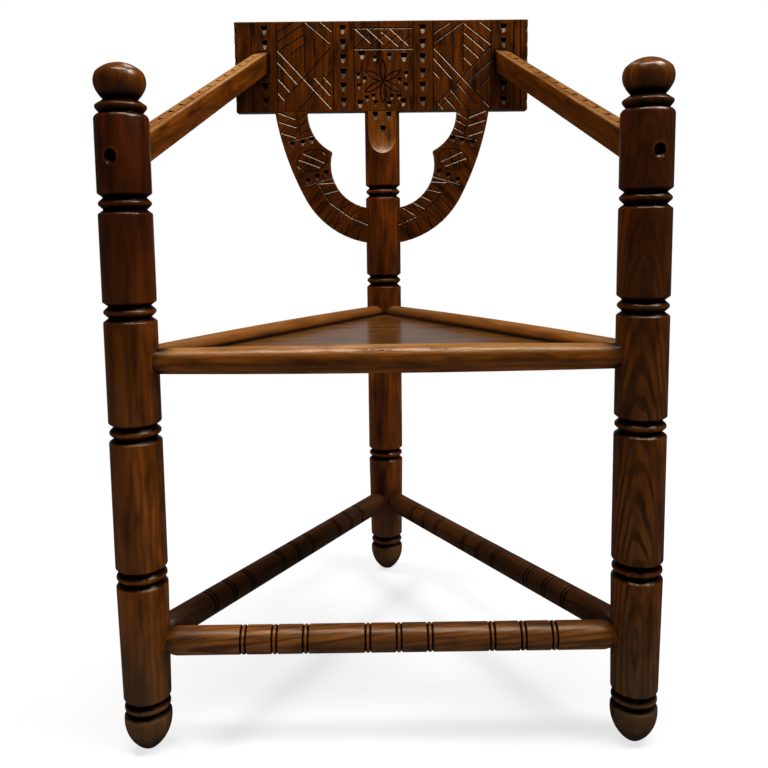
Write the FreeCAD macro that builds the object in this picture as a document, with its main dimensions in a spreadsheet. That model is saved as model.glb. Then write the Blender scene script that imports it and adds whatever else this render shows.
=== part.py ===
"""Monk's armchair: three turned legs on a triangular plan, joined by round rails and stretchers.

The rear leg carries a flat crest board with a scrolled bracket on either side, and two square arms
run from the front legs up to the face of the board. Millimetres, +Z up, +Y to the back, origin on
the floor at the middle of the overall box.
"""
import FreeCAD
import Part
import Sketcher
import math
import os
from types import SimpleNamespace

SIZES = {
    # plan: leg axes stand on a triangle
    "leg_spacing": 540,
    "leg_depth": 468,
    # turned legs: heights of the bead rings above the floor
    "leg_dia": 55,
    "leg_foot_dia": 51,
    "foot_flat_dia": 16,
    "foot_round": 44,
    "foot_ring_height": 50,
    "shin_ring_height": 199,
    "knee_ring_height": 358,
    "seat_ring_height": 486,
    "arm_ring_height": 598,
    "rear_arm_ring_height": 628,
    "ring_shoulder": 10.5,
    "ring_groove": 6.2,
    "ring_groove_depth": 5.8,
    "bead_half_width": 1.3,
    "bead_drop": 0.7,
    # finial of a front leg
    "post_shoulder_height": 682,
    "post_shoulder_rise": 7,
    "post_groove_dia": 42,
    "neck_ring_height": 696,
    "neck_height": 703,
    "neck_dia": 34,
    "ball_height": 721,
    "ball_dia": 55,
    "ball_edge_round": 13.6,
    # round seat rails and stretchers with turned tenons
    "rail_height": 432.5,
    "rail_dia": 31,
    "rail_end_dia": 27,
    "rail_taper_run": 150,
    "stretcher_height": 121.5,
    "stretcher_dia": 31,
    "stretcher_end_dia": 24,
    "stretcher_end_run": 12,
    "stretcher_end_bite": 4,
    "tenon_dia": 16,
    "tenon_grip": 6,
    "socket_web": 1.5,
    # seat panel held in grooves of the rails
    "panel_thickness": 14,
    "panel_tongue": 8,
    "panel_top_above_rail": 1,
    "panel_groove_depth": 6.5,
    "panel_body_gap": 1,
    # crest board let into the front of the rear leg
    "crest_width": 458,
    "crest_height": 138,
    "crest_thickness": 22,
    "crest_bottom_height": 753,
    "crest_face_from_axis": 16.5,
    "flat_run_below_crest": 37,
    "flat_runout_round": 41,
    "rear_leg_top_drop": 10,
    "rear_leg_top_chamfer": 4,
    # scrolled brackets, measured out from the middle and down from the crest board
    "bracket_thickness": 20,
    "bracket_outer_reach": 168.5,
    "bracket_inner_reach": 118.5,
    "bracket_bend_reach": 121,
    "bracket_bend_drop": 140,
    "bracket_foot_drop": 208,
    "bracket_crotch_drop": 151,
    "bracket_cusp_reach": 80,
    "bracket_cusp_drop": 62,
    "bracket_outer_upper_round": 440,
    "bracket_outer_lower_round": 136,
    "bracket_upper_lobe_round": 70,
    "bracket_lower_lobe_round": 69.5,
    "bracket_foot_inset": 6,
    "bracket_tenon_thickness": 8,
    "bracket_tenon_width": 34,
    "bracket_tenon_length": 14,
    # arms
    "arm_width": 22,
    "arm_height": 30,
    "arm_front_height": 642.5,
    "arm_rear_height": 829,
    "arm_inset": 42,
    "arm_tenon_width": 12,
    "arm_tenon_height": 22,
    "arm_tenon_length": 14,
    "crest_tenon_length": 12,
    # wood screws
    "arm_screw_above_arm": 8.5,
    "arm_screw_rise": 11,
    "arm_screw_length": 65,
    "arm_screw_counterbore_dia": 12,
    "arm_screw_counterbore_depth": 12,
    "crest_screw_length": 30,
    "crest_screw_spacing": 70,
    "crest_screw_counterbore_depth": 6,
    "crest_screw_counterbore_dia": 10,
    "screw_shank_dia": 5,
    "screw_head_dia": 9.4,
    "screw_head_height": 3.4,
    "screw_head_bevel": 1.6,
    "screw_slot_width": 1.2,
    "screw_slot_depth": 1.2,
    "screw_tip": 8,
    # clearances
    "joint_clearance": 0.2,
    "cope_clearance": 0.3,
    "panel_clearance": 0.4,
    "cutter_overrun": 5,
}

doc = FreeCAD.newDocument("monk_chair")
sheet = doc.addObject("Spreadsheet::Sheet", "Sizes")
for row, (name, value) in enumerate(SIZES.items(), start=1):
    sheet.set(f"A{row}", name)
    sheet.set(f"B{row}", str(value))
    sheet.setAlias(f"B{row}", name)
doc.recompute()


class Size:
    """A length or an angle: its value, and the sheet expression that a feature is bound to."""

    def __init__(self, value, text):
        self.value = float(value)
        self.text = text

    def __add__(self, other):
        return joined(self, "+", other, self.value + number(other))

    def __sub__(self, other):
        return joined(self, "-", other, self.value - number(other))

    def __mul__(self, other):
        return joined(self, "*", other, self.value * number(other))

    def __truediv__(self, other):
        return joined(self, "/", other, self.value / number(other))

    def __neg__(self):
        return Size(-self.value, f"(-1 * {self.text})")


def number(thing):
    return thing.value if isinstance(thing, Size) else float(thing)


def text_of(thing):
    return thing.text if isinstance(thing, Size) else repr(thing)


def joined(left, sign, right, value):
    return Size(value, f"({text_of(left)} {sign} {text_of(right)})")


def root(square):
    return Size(math.sqrt(square.value), f"sqrt({square.text})")


def heading(rise, run):
    angle = math.degrees(math.atan2(rise.value, run.value))
    return Size(angle, f"atan2({rise.text}; {run.text})")


def degrees(plain):
    return Size(plain.value, f"({plain.text} * 1 deg)")


def cosine(angle):
    return Size(math.cos(math.radians(angle.value)), f"cos({angle.text})")


def sine(angle):
    return Size(math.sin(math.radians(angle.value)), f"sin({angle.text})")


s = SimpleNamespace(**{name: Size(value, f"Sizes.{name}") for name, value in SIZES.items()})
ZERO = Size(0, "0")
QUARTER_TURN = Size(90, "90 deg")
HALF_TURN = Size(180, "180 deg")
COS_45 = math.sqrt(0.5)


def bind(feature, **sizes):
    """Ties each named property of a feature to a size of the sheet."""
    for name, size in sizes.items():
        feature.setExpression(name, text_of(size))


def place(feature, x=0, y=0, z=0, yaw=0, pitch=0):
    """Turns a feature by pitch about Y, then by yaw about Z, and moves it to a point."""
    point = f"vector({text_of(x)}; {text_of(y)}; {text_of(z)})"
    turn = f"rotation({text_of(yaw)}; {text_of(pitch)}; 0)"
    feature.setExpression("Placement", f"placement({point}; {turn})")
    return feature


def cylinder(name, radius, height, **where):
    feature = doc.addObject("Part::Cylinder", name)
    bind(feature, Radius=radius, Height=height)
    return place(feature, **where)


def box(name, length, width, height, **where):
    feature = doc.addObject("Part::Box", name)
    bind(feature, Length=length, Width=width, Height=height)
    return place(feature, **where)


def fuse(name, *pieces):
    feature = doc.addObject("Part::MultiFuse", name)
    feature.Shapes = list(pieces)
    return feature


def cut(name, base, *cutters):
    feature = doc.addObject("Part::Cut", name)
    feature.Base = base
    feature.Tool = cutters[0] if len(cutters) == 1 else fuse(f"{name}_cutters", *cutters)
    return feature


def mirrored(name, source):
    """The same piece on the left of the chair's middle plane."""
    feature = doc.addObject("Part::Mirroring", name)
    feature.Source = source
    feature.Normal = FreeCAD.Vector(1, 0, 0)
    return feature


def group(name, *pieces):
    feature = doc.addObject("Part::Compound", name)
    feature.Links = list(pieces)
    return feature


def arc_between(start, end, radius):
    """Arc of under a half turn; a positive radius turns left on the way to its end."""
    chord = end - start
    middle = (start + end) / 2
    left = FreeCAD.Vector(-chord.y, chord.x, 0).normalize()
    to_centre = math.sqrt(radius ** 2 - (chord.Length / 2) ** 2)
    centre = middle + left * math.copysign(to_centre, radius)
    crown = centre + (middle - centre).normalize() * abs(radius)
    return Part.Arc(start, crown, end)


def outline(body, name, plane, points):
    """Closed sketch on an origin plane of a body.

    A point is (x, y), reached by a line, or (x, y, radius, turn), reached by an arc that turns
    left (+1) or right (-1). Every corner and radius is bound to the sheet.
    """
    sketch = body.newObject("Sketcher::SketchObject", name)
    support = next(f for f in body.Origin.OriginFeatures if f.Role == plane)
    sketch.AttachmentSupport = [(support, "")]
    sketch.MapMode = "FlatFace"
    corners = [FreeCAD.Vector(number(p[0]), number(p[1]), 0) for p in points]
    bound = []

    def constrain(size, *details):
        bound.append((sketch.addConstraint(Sketcher.Constraint(*details, number(size))), size))

    ends = []
    for start, end, point in zip(corners[-1:] + corners[:-1], corners, points):
        if len(point) == 2:
            edge = sketch.addGeometry(Part.LineSegment(start, end), False)
            ends.append((edge, 1, 2))
        else:
            radius, turn = point[2:]
            edge = sketch.addGeometry(arc_between(start, end, radius.value * turn), False)
            ends.append((edge, 1, 2) if turn > 0 else (edge, 2, 1))
            constrain(radius, "Radius", edge)
    for (edge, first, last), (following, begin, finish), point in zip(ends, ends[1:] + ends[:1], points):
        sketch.addConstraint(Sketcher.Constraint("Coincident", edge, last, following, begin))
        constrain(point[0], "DistanceX", edge, last)
        constrain(point[1], "DistanceY", edge, last)
    for index, size in bound:
        sketch.setExpression(f"Constraints[{index}]", text_of(size))
    return sketch


def turned(name, points, axis="V_Axis"):
    """Body turned on the lathe: a half outline spun about the sketch's upright or level axis."""
    body = doc.addObject("PartDesign::Body", name)
    sketch = outline(body, f"{name}_profile", "XZ_Plane", points)
    spin = body.newObject("PartDesign::Revolution", f"{name}_spin")
    spin.Profile = sketch
    spin.ReferenceAxis = (sketch, [axis])
    spin.Angle = 360
    return body


def slab(name, plane, points, thickness, midplane=False, backwards=False):
    """Body sawn from a board: an outline padded by the board's thickness."""
    body = doc.addObject("PartDesign::Body", name)
    sketch = outline(body, f"{name}_outline", plane, points)
    pad = body.newObject("PartDesign::Pad", f"{name}_pad")
    pad.Profile = sketch
    pad.Midplane = midplane
    pad.Reversed = backwards
    bind(pad, Length=thickness)
    return body


leg_radius = s.leg_dia / 2
foot_radius = s.leg_foot_dia / 2
half_spacing = s.leg_spacing / 2
rear_axis = s.leg_depth / 2
front_axis = -rear_axis
side_length = root(half_spacing * half_spacing + s.leg_depth * s.leg_depth)
side_heading = heading(s.leg_depth, half_spacing)
crest_face = rear_axis - s.crest_face_from_axis
crest_top = s.crest_bottom_height + s.crest_height
cope_radius = leg_radius + s.cope_clearance
socket_radius = s.tenon_dia / 2 + s.joint_clearance
shank_way = s.screw_shank_dia / 2 + s.joint_clearance
both_sides = s.joint_clearance * 2


# Legs
def bead_ring(height, radius):
    """Bead between two V grooves, from its lower shoulder to its upper one."""
    groove = radius - s.ring_groove_depth
    bead = radius - s.bead_drop
    return [
        (radius, height - s.ring_shoulder),
        (groove, height - s.ring_groove),
        (bead, height - s.bead_half_width),
        (bead, height + s.bead_half_width),
        (groove, height + s.ring_groove),
        (radius, height + s.ring_shoulder),
    ]


def leg_profile(arm_ring, top):
    """Half outline of a leg: bullet foot, tapered shin, rings up to the arm ring, then its own top."""
    foot_ring = bead_ring(s.foot_ring_height, foot_radius)
    foot_top = foot_ring[0] + (s.foot_round, 1)
    points = [(0, 0), (s.foot_flat_dia / 2, 0), foot_top] + foot_ring[1:]
    for height in (s.shin_ring_height, s.knee_ring_height, s.seat_ring_height, arm_ring):
        points += bead_ring(height, leg_radius)
    return points + top


def finial():
    """Shoulder, neck ring and flattened ball at the top of a front leg."""
    bead = leg_radius - s.bead_drop
    edge_reach = s.ball_dia / 2 - s.ball_edge_round * (1 - COS_45)
    edge_rise = s.ball_edge_round * COS_45
    crown_round = edge_reach / COS_45
    return [
        (leg_radius, s.post_shoulder_height),
        (s.post_groove_dia / 2, s.post_shoulder_height + s.post_shoulder_rise),
        (bead, s.neck_ring_height - s.bead_half_width),
        (bead, s.neck_ring_height + s.bead_half_width),
        (s.neck_dia / 2, s.neck_height),
        (edge_reach, s.ball_height - edge_rise, crown_round, 1),
        (edge_reach, s.ball_height + edge_rise, s.ball_edge_round, 1),
        (0, s.ball_height + edge_rise - edge_reach + crown_round, crown_round, 1),
    ]


def socket_floor(half_angle):
    """Distance from a leg's axis at which two sockets that meet at twice this angle leave a web."""
    return (s.socket_web / 2 + socket_radius * cosine(half_angle)) / sine(half_angle)


front_floor = socket_floor(side_heading / 2)
rear_floor = socket_floor(QUARTER_TURN - side_heading)


def sockets(name, x, y, yaw, floor):
    """Round sockets of a leg for the tenons of the rail and the stretcher that run one way."""
    depth = leg_radius + s.cutter_overrun - floor
    where = {"x": x + floor * cosine(yaw), "y": y + floor * sine(yaw), "yaw": yaw, "pitch": QUARTER_TURN}
    return [
        cylinder(f"{name}_rail_socket", socket_radius, depth, z=s.rail_height, **where),
        cylinder(f"{name}_stretcher_socket", socket_radius, depth, z=s.stretcher_height, **where),
    ]


# Arms
arm_reach = s.crest_width / 2 - s.arm_inset
arm_run_x = arm_reach - half_spacing
arm_run_y = crest_face - front_axis
arm_plan = root(arm_run_x * arm_run_x + arm_run_y * arm_run_y)
arm_heading = heading(arm_run_y, arm_run_x)
arm_rise = s.arm_rear_height - s.arm_front_height
arm_slope = root(arm_plan * arm_plan + arm_rise * arm_rise) / arm_plan


def slanted_bar(name, start, end, height, width):
    """Square bar along the line of the right arm, between two distances from the leg's axis."""
    rise = height * arm_slope / 2
    start_height = s.arm_front_height + arm_rise * start / arm_plan
    end_height = s.arm_front_height + arm_rise * end / arm_plan
    corners = [
        (start, start_height - rise),
        (end, end_height - rise),
        (end, end_height + rise),
        (start, start_height + rise),
    ]
    bar = slab(name, "XZ_Plane", corners, width, midplane=True)
    return place(bar, x=half_spacing, y=front_axis, yaw=arm_heading)


def crest_tenon(name, back, front, clearance):
    """Square stub on the rear end of the right arm, or its mortise in the crest board."""
    width = s.arm_tenon_width + clearance * 2
    height = s.arm_tenon_height + clearance * 2
    return box(
        name, width, front + s.crest_tenon_length + back, height,
        x=arm_reach - width / 2, y=crest_face - front, z=s.arm_rear_height - height / 2,
    )


screw_rise = degrees(s.arm_screw_rise)
screw_seat = leg_radius - s.arm_screw_counterbore_depth
arm_screw_height = s.arm_front_height + s.arm_screw_above_arm


def along_arm_screw(distance):
    """Place on the right arm's screw, at a distance behind the axis of the leg."""
    level = distance * cosine(screw_rise)
    return {
        "x": half_spacing + level * cosine(arm_heading),
        "y": front_axis + level * sine(arm_heading),
        "z": arm_screw_height + distance * sine(screw_rise),
        "yaw": arm_heading,
        "pitch": QUARTER_TURN - screw_rise,
    }


def wood_screw(name, length, **where):
    """Slotted screw that points along its own axis, with the seat of its bevelled head at its place."""
    head = s.screw_head_dia / 2
    shank = s.screw_shank_dia / 2
    rise = s.screw_head_height
    shaft = turned(f"{name}_turning", [
        (0, -rise),
        (head - s.screw_head_bevel, -rise),
        (head, s.screw_head_bevel - rise),
        (head, 0),
        (shank, 0),
        (shank, length - s.screw_tip),
        (0, length),
    ])
    slot = box(
        f"{name}_slot", s.screw_head_dia, s.screw_slot_width, s.screw_slot_depth,
        x=-head, y=-s.screw_slot_width / 2, z=-rise,
    )
    return place(cut(name, shaft, slot), **where)


arm_screw_way = cylinder(
    "arm_screw_way", shank_way, screw_seat + s.arm_screw_length, **along_arm_screw(-screw_seat))
arm_screw_counterbore = cylinder(
    "arm_screw_counterbore", s.arm_screw_counterbore_dia / 2,
    s.arm_screw_counterbore_depth + s.cutter_overrun,
    **along_arm_screw(-leg_radius - s.cutter_overrun))
tenon_start = leg_radius - s.arm_tenon_length

arm_bar = slanted_bar("arm_bar", ZERO, arm_plan + s.arm_width, s.arm_height, s.arm_width)
arm_cope = cylinder(
    "arm_cope", cope_radius, s.arm_height * 4,
    x=half_spacing, y=front_axis, z=s.arm_front_height - s.arm_height * 2)
arm_trim = box(
    "arm_trim", s.arm_width * 4, s.arm_width * 4, s.arm_height * 4,
    x=arm_reach - s.arm_width * 2, y=crest_face, z=s.arm_rear_height - s.arm_height * 2)
arm_tenoned = fuse(
    "arm_tenoned",
    cut("arm_shaped", arm_bar, arm_cope, arm_trim),
    slanted_bar("arm_tenon", tenon_start, leg_radius + s.tenon_grip, s.arm_tenon_height, s.arm_tenon_width),
    crest_tenon("arm_crest_tenon", ZERO, s.tenon_grip, ZERO),
)
right_arm = cut("right_arm", arm_tenoned, arm_screw_way)
left_arm = mirrored("left_arm", right_arm)
right_arm_screw = wood_screw("right_arm_screw", s.arm_screw_length, **along_arm_screw(-screw_seat))
arm_screws = group("arm_screws", right_arm_screw, mirrored("left_arm_screw", right_arm_screw))

# Front legs
front_post = place(
    turned("front_post", leg_profile(s.arm_ring_height, finial())), x=half_spacing, y=front_axis)
arm_mortise = slanted_bar(
    "arm_mortise", tenon_start - s.joint_clearance, leg_radius + s.cutter_overrun,
    s.arm_tenon_height + both_sides, s.arm_tenon_width + both_sides)
front_right_leg = cut(
    "front_right_leg", front_post,
    *sockets("front", half_spacing, front_axis, HALF_TURN, front_floor),
    *sockets("side", half_spacing, front_axis, HALF_TURN - side_heading, front_floor),
    arm_mortise, arm_screw_way, arm_screw_counterbore,
)
front_left_leg = mirrored("front_left_leg", front_right_leg)


# Brackets
bracket_middle = crest_face + s.bracket_thickness / 2
bracket_head = (s.bracket_outer_reach + s.bracket_inner_reach) / 2
bracket_foot = s.crest_bottom_height - (s.bracket_foot_drop + s.bracket_crotch_drop) / 2


def bracket_profile():
    """Outline of the right bracket: two outer arcs, and two lobes that meet in a cusp inside."""
    top = s.crest_bottom_height
    return [
        (s.bracket_inner_reach, top, s.bracket_upper_lobe_round, 1),
        (s.bracket_outer_reach, top),
        (s.bracket_bend_reach, top - s.bracket_bend_drop, s.bracket_outer_upper_round, -1),
        (s.bracket_foot_inset, top - s.bracket_foot_drop, s.bracket_outer_lower_round, -1),
        (s.bracket_foot_inset, top - s.bracket_crotch_drop),
        (s.bracket_cusp_reach, top - s.bracket_cusp_drop, s.bracket_lower_lobe_round, 1),
    ]


def bracket_tenons(name, grip, clearance):
    """Flat tongues of the right bracket, up into the crest board and sideways into the rear leg."""
    thick = s.bracket_tenon_thickness + clearance * 2
    wide = s.bracket_tenon_width + clearance * 2
    reach = s.bracket_tenon_length + clearance + grip
    upper = box(
        f"{name}_upper", wide, thick, reach,
        x=bracket_head - wide / 2, y=bracket_middle - thick / 2, z=s.crest_bottom_height - grip)
    lower = box(
        f"{name}_lower", reach, thick, wide,
        x=leg_radius + grip - reach, y=bracket_middle - thick / 2, z=bracket_foot - wide / 2)
    return upper, lower


bracket_slab = place(
    slab("bracket_slab", "XZ_Plane", bracket_profile(), s.bracket_thickness, backwards=True), y=crest_face)
bracket_cope = cylinder(
    "bracket_cope", cope_radius, s.bracket_foot_drop,
    y=rear_axis, z=s.crest_bottom_height - s.bracket_foot_drop - s.cutter_overrun)
right_back_bracket = fuse(
    "right_back_bracket",
    cut("bracket_shaped", bracket_slab, bracket_cope),
    *bracket_tenons("bracket_tenon", s.tenon_grip, ZERO),
)
left_back_bracket = mirrored("left_back_bracket", right_back_bracket)
crest_bracket_mortise, leg_bracket_mortise = bracket_tenons(
    "bracket_mortise", s.cutter_overrun, s.joint_clearance)

# Crest board and the screws that hold it from behind
crest_middle = s.crest_bottom_height + s.crest_height / 2
crest_seat = rear_axis + leg_radius - s.crest_screw_counterbore_depth
TOWARDS_FRONT = {"yaw": -QUARTER_TURN, "pitch": QUARTER_TURN}
crest_screw_heights = {
    "upper": crest_middle + s.crest_screw_spacing / 2,
    "lower": crest_middle - s.crest_screw_spacing / 2,
}
crest_screw_ways = []
crest_screw_counterbores = []
crest_screw_pieces = []
for level, height in crest_screw_heights.items():
    crest_screw_ways.append(cylinder(
        f"{level}_crest_screw_way", shank_way, s.crest_screw_length + s.joint_clearance,
        y=crest_seat, z=height, **TOWARDS_FRONT))
    crest_screw_counterbores.append(cylinder(
        f"{level}_crest_screw_counterbore", s.crest_screw_counterbore_dia / 2,
        s.crest_screw_counterbore_depth + s.cutter_overrun,
        y=rear_axis + leg_radius + s.cutter_overrun, z=height, **TOWARDS_FRONT))
    crest_screw_pieces.append(wood_screw(
        f"{level}_crest_screw", s.crest_screw_length, y=crest_seat, z=height, **TOWARDS_FRONT))
crest_screws = group("crest_screws", *crest_screw_pieces)

crest_slab = box(
    "crest_slab", s.crest_width, s.crest_thickness, s.crest_height,
    x=-s.crest_width / 2, y=crest_face, z=s.crest_bottom_height)
crest_arm_mortise = crest_tenon("crest_arm_mortise", s.joint_clearance, s.cutter_overrun, s.joint_clearance)
crest_board = cut(
    "crest_board", crest_slab,
    crest_arm_mortise, mirrored("crest_left_arm_mortise", crest_arm_mortise),
    crest_bracket_mortise, mirrored("crest_left_bracket_mortise", crest_bracket_mortise),
    *crest_screw_ways,
)


# Rear leg
def crest_seat_profile():
    """Side view of the cut in the rear leg: a scooped flat, then the notch that takes the crest board."""
    flat = -s.crest_face_from_axis
    clear = -leg_radius - s.cutter_overrun
    notch = flat + s.crest_thickness + s.joint_clearance
    run_end = s.crest_bottom_height - s.flat_run_below_crest
    swing = s.flat_runout_round - (flat - clear)
    scoop = root(s.flat_runout_round * s.flat_runout_round - swing * swing)
    return [
        (flat, run_end, s.flat_runout_round, 1),
        (flat, s.crest_bottom_height),
        (notch, s.crest_bottom_height),
        (notch, crest_top),
        (clear, crest_top),
        (clear, run_end - scoop),
    ]


rear_top = crest_top - s.rear_leg_top_drop
rear_post = place(turned("rear_post", leg_profile(s.rear_arm_ring_height, [
    (leg_radius, rear_top - s.rear_leg_top_chamfer),
    (leg_radius - s.rear_leg_top_chamfer, rear_top),
    (0, rear_top),
])), y=rear_axis)
crest_notch = place(
    slab("crest_notch", "YZ_Plane", crest_seat_profile(), s.leg_dia * 2, midplane=True), y=rear_axis)
right_side_sockets = sockets("rear", ZERO, rear_axis, -side_heading, rear_floor)
rear_leg = cut(
    "rear_leg", rear_post, crest_notch,
    *right_side_sockets, *[mirrored(f"left_{piece.Label}", piece) for piece in right_side_sockets],
    leg_bracket_mortise, mirrored("left_bracket_mortise_lower", leg_bracket_mortise),
    *crest_screw_ways, *crest_screw_counterbores,
)


# Rails and stretchers lie along X about their middles until they are placed
def end_tenons(name, half, first_floor, last_floor):
    """Turned tenons at the two ends of a bar, which stop short of the floors of their sockets."""
    radius = s.tenon_dia / 2
    root_end = leg_radius + s.tenon_grip
    first = root_end - first_floor - s.joint_clearance
    last = root_end - last_floor - s.joint_clearance
    return [
        cylinder(f"{name}_first_tenon", radius, first, x=root_end - first - half, pitch=QUARTER_TURN),
        cylinder(f"{name}_last_tenon", radius, last, x=half - root_end, pitch=QUARTER_TURN),
    ]


def seat_rail(name, half, first_floor, last_floor):
    """Round rail that tapers to its ends, with a groove along its inner side for the seat panel."""
    middle = s.rail_dia / 2
    end = s.rail_end_dia / 2
    land = half - s.rail_taper_run
    barrel = turned(f"{name}_barrel", [
        (-half, 0),
        (half, 0),
        (half, end),
        (land, middle),
        (-land, middle),
        (-half, end),
    ], "H_Axis")
    slot = box(
        f"{name}_slot", half * 2, s.panel_groove_depth + s.cutter_overrun, s.panel_tongue + both_sides,
        x=-half, y=middle - s.panel_groove_depth,
        z=s.panel_top_above_rail - s.panel_tongue - s.joint_clearance)
    copes = [
        cylinder(f"{name}_{end_name}_cope", cope_radius, s.rail_dia * 2, x=x, z=-s.rail_dia)
        for end_name, x in (("first", -half), ("last", half))
    ]
    return fuse(
        name, cut(f"{name}_shaped", barrel, slot, *copes), *end_tenons(name, half, first_floor, last_floor))


def stretcher(name, half, first_floor, last_floor):
    """Round stretcher whose ends narrow where they meet the legs."""
    radius = s.stretcher_dia / 2
    end = s.stretcher_end_dia / 2
    nose = half - foot_radius + s.stretcher_end_bite
    land = nose - s.stretcher_end_run
    bar = turned(f"{name}_bar", [
        (-half, 0),
        (half, 0),
        (half, end),
        (nose, end),
        (land, radius),
        (-land, radius),
        (-nose, end),
        (-half, end),
    ], "H_Axis")
    shin_bottom = s.foot_ring_height + s.ring_shoulder
    copes = []
    for end_name, x in (("first", -half), ("last", half)):
        cope = doc.addObject("Part::Cone", f"{name}_{end_name}_cope")
        bind(
            cope, Radius1=foot_radius + s.cope_clearance, Radius2=cope_radius,
            Height=s.shin_ring_height - s.ring_shoulder - shin_bottom)
        copes.append(place(cope, x=x, z=shin_bottom - s.stretcher_height))
    return fuse(
        name, cut(f"{name}_shaped", bar, *copes), *end_tenons(name, half, first_floor, last_floor))


side_place = {"x": half_spacing / 2, "yaw": HALF_TURN - side_heading}
front_seat_rail = place(
    seat_rail("front_seat_rail", half_spacing, front_floor, front_floor), y=front_axis, z=s.rail_height)
right_seat_rail = place(
    seat_rail("right_seat_rail", side_length / 2, front_floor, rear_floor), z=s.rail_height, **side_place)
left_seat_rail = mirrored("left_seat_rail", right_seat_rail)
front_stretcher = place(
    stretcher("front_stretcher", half_spacing, front_floor, front_floor), y=front_axis, z=s.stretcher_height)
right_stretcher = place(
    stretcher("right_stretcher", side_length / 2, front_floor, rear_floor),
    z=s.stretcher_height, **side_place)
left_stretcher = mirrored("left_stretcher", right_stretcher)

# Seat panel
inradius = s.leg_spacing * s.leg_depth / (s.leg_spacing + side_length * 2)


def seat_triangle(inset):
    """Triangle of the leg axes drawn in by the same distance on all three sides."""
    keep = (inradius - inset) / inradius
    front = front_axis + inradius - inradius * keep
    return [
        (-half_spacing * keep, front),
        (half_spacing * keep, front),
        (0, front_axis + inradius + (s.leg_depth - inradius) * keep),
    ]


panel_top = s.rail_height + s.panel_top_above_rail
tongue_inset = s.rail_dia / 2 - s.panel_groove_depth + s.panel_clearance
body_inset = s.rail_dia / 2 + s.panel_body_gap
panel_tongue = place(
    slab("panel_tongue_plate", "XY_Plane", seat_triangle(tongue_inset), s.panel_tongue),
    z=panel_top - s.panel_tongue)
panel_body = place(
    slab("panel_body_plate", "XY_Plane", seat_triangle(body_inset), s.panel_thickness),
    z=panel_top - s.panel_thickness)
leg_axes = {"left": (-half_spacing, front_axis), "right": (half_spacing, front_axis), "rear": (0, rear_axis)}
leg_notches = [
    cylinder(
        f"{corner}_notch", leg_radius + s.panel_clearance, s.panel_thickness * 2,
        x=x, y=y, z=panel_top - s.panel_thickness * 3 / 2)
    for corner, (x, y) in leg_axes.items()
]
seat_panel = cut("seat_panel", fuse("panel_blank", panel_tongue, panel_body), *leg_notches)

NODES = (
    front_left_leg, front_right_leg, rear_leg,
    front_seat_rail, left_seat_rail, right_seat_rail,
    front_stretcher, left_stretcher, right_stretcher,
    seat_panel, crest_board, left_back_bracket, right_back_bracket,
    left_arm, right_arm, arm_screws, crest_screws,
)

doc.recompute()
broken = [feature.Label for feature in doc.Objects if {"Invalid", "Error"} & set(feature.State)]
broken += [node.Label for node in NODES if node.Shape.isNull() or not node.Shape.isValid()]
if broken:
    raise RuntimeError(f"features that failed: {broken}")

os.makedirs("parts", exist_ok=True)
for node in NODES:
    node.Shape.exportStep(os.path.join("parts", f"{node.Label}.step"))
    print(f"{node.Label}: {len(node.Shape.Solids)} solid(s), {node.Shape.Volume / 1000:.1f} cm3")
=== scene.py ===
import math
import random

import bpy
from mathutils import Matrix, Vector


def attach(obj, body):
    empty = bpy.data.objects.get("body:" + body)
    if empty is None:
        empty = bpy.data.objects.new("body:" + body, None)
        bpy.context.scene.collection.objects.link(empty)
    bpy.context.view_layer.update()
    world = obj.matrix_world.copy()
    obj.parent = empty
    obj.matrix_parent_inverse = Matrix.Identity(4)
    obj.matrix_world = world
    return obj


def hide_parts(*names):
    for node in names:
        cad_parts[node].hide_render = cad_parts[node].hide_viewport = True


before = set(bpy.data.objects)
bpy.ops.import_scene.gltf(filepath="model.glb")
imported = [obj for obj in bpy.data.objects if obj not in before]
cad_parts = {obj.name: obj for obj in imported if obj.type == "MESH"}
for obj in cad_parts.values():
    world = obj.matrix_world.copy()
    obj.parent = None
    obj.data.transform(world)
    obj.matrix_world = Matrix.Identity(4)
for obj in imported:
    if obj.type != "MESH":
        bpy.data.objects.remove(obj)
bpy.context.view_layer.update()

# Front legs. Two oak posts from the lathe, stained dark and waxed: a bullet foot, a tapered shin, bead
# rings between pairs of deep grooves, and a flattened ball on top. A counterbore in the front of each
# takes the head of the screw that draws in the arm.
front_line = -0.234
leg_radius = 0.0275
foot_radius = 0.0255
foot_flat = 0.008
foot_bow = 0.044
foot_ring = 0.050
shin_ring = 0.199
knee_ring = 0.358
seat_ring = 0.486
arm_ring = 0.598
ring_reach = 0.0105
groove_reach = 0.0062
groove_depth = 0.0058
bead_reach = 0.0014
bead_drop = 0.0007
front_legs = {-1: Vector((-0.270, front_line, 0)), 1: Vector((0.270, front_line, 0))}
arm_foot_height = 0.6425
arm_head = Vector((0.187, 0.2175, 0.829))
counterbore_height = 0.651
counterbore_radius = 0.006
counterbore_depth = 0.012
counterbore_rise = math.radians(11)
chamfer_mouth = 0.009
chamfer_throat = 0.0054
chamfer_run = 0.004
lathe_steps = 96
leg_ease = 0.0009


def bowed(start, end, radius, count=10):
    """Points after start on an arc to end, which bows to the right of the way there."""
    half = (Vector(end) - Vector(start)) / 2
    middle = Vector(start) + half
    left = Vector((-half.y, half.x)).normalized()
    centre = middle + left * math.sqrt(radius * radius - half.length_squared)
    sweep = 2 * math.asin(half.length / radius)
    spoke = Vector(start) - centre
    return [tuple(centre + Matrix.Rotation(sweep * n / count, 2) @ spoke) for n in range(1, count + 1)]


def ring_cuts(height, radius):
    """Half outline of a bead between two grooves, from the shoulder below to the shoulder above."""
    return [
        (radius, height - ring_reach), (radius - groove_depth, height - groove_reach),
        (radius - bead_drop, height - bead_reach), (radius - bead_drop, height + bead_reach),
        (radius - groove_depth, height + groove_reach), (radius, height + ring_reach)]


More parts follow.
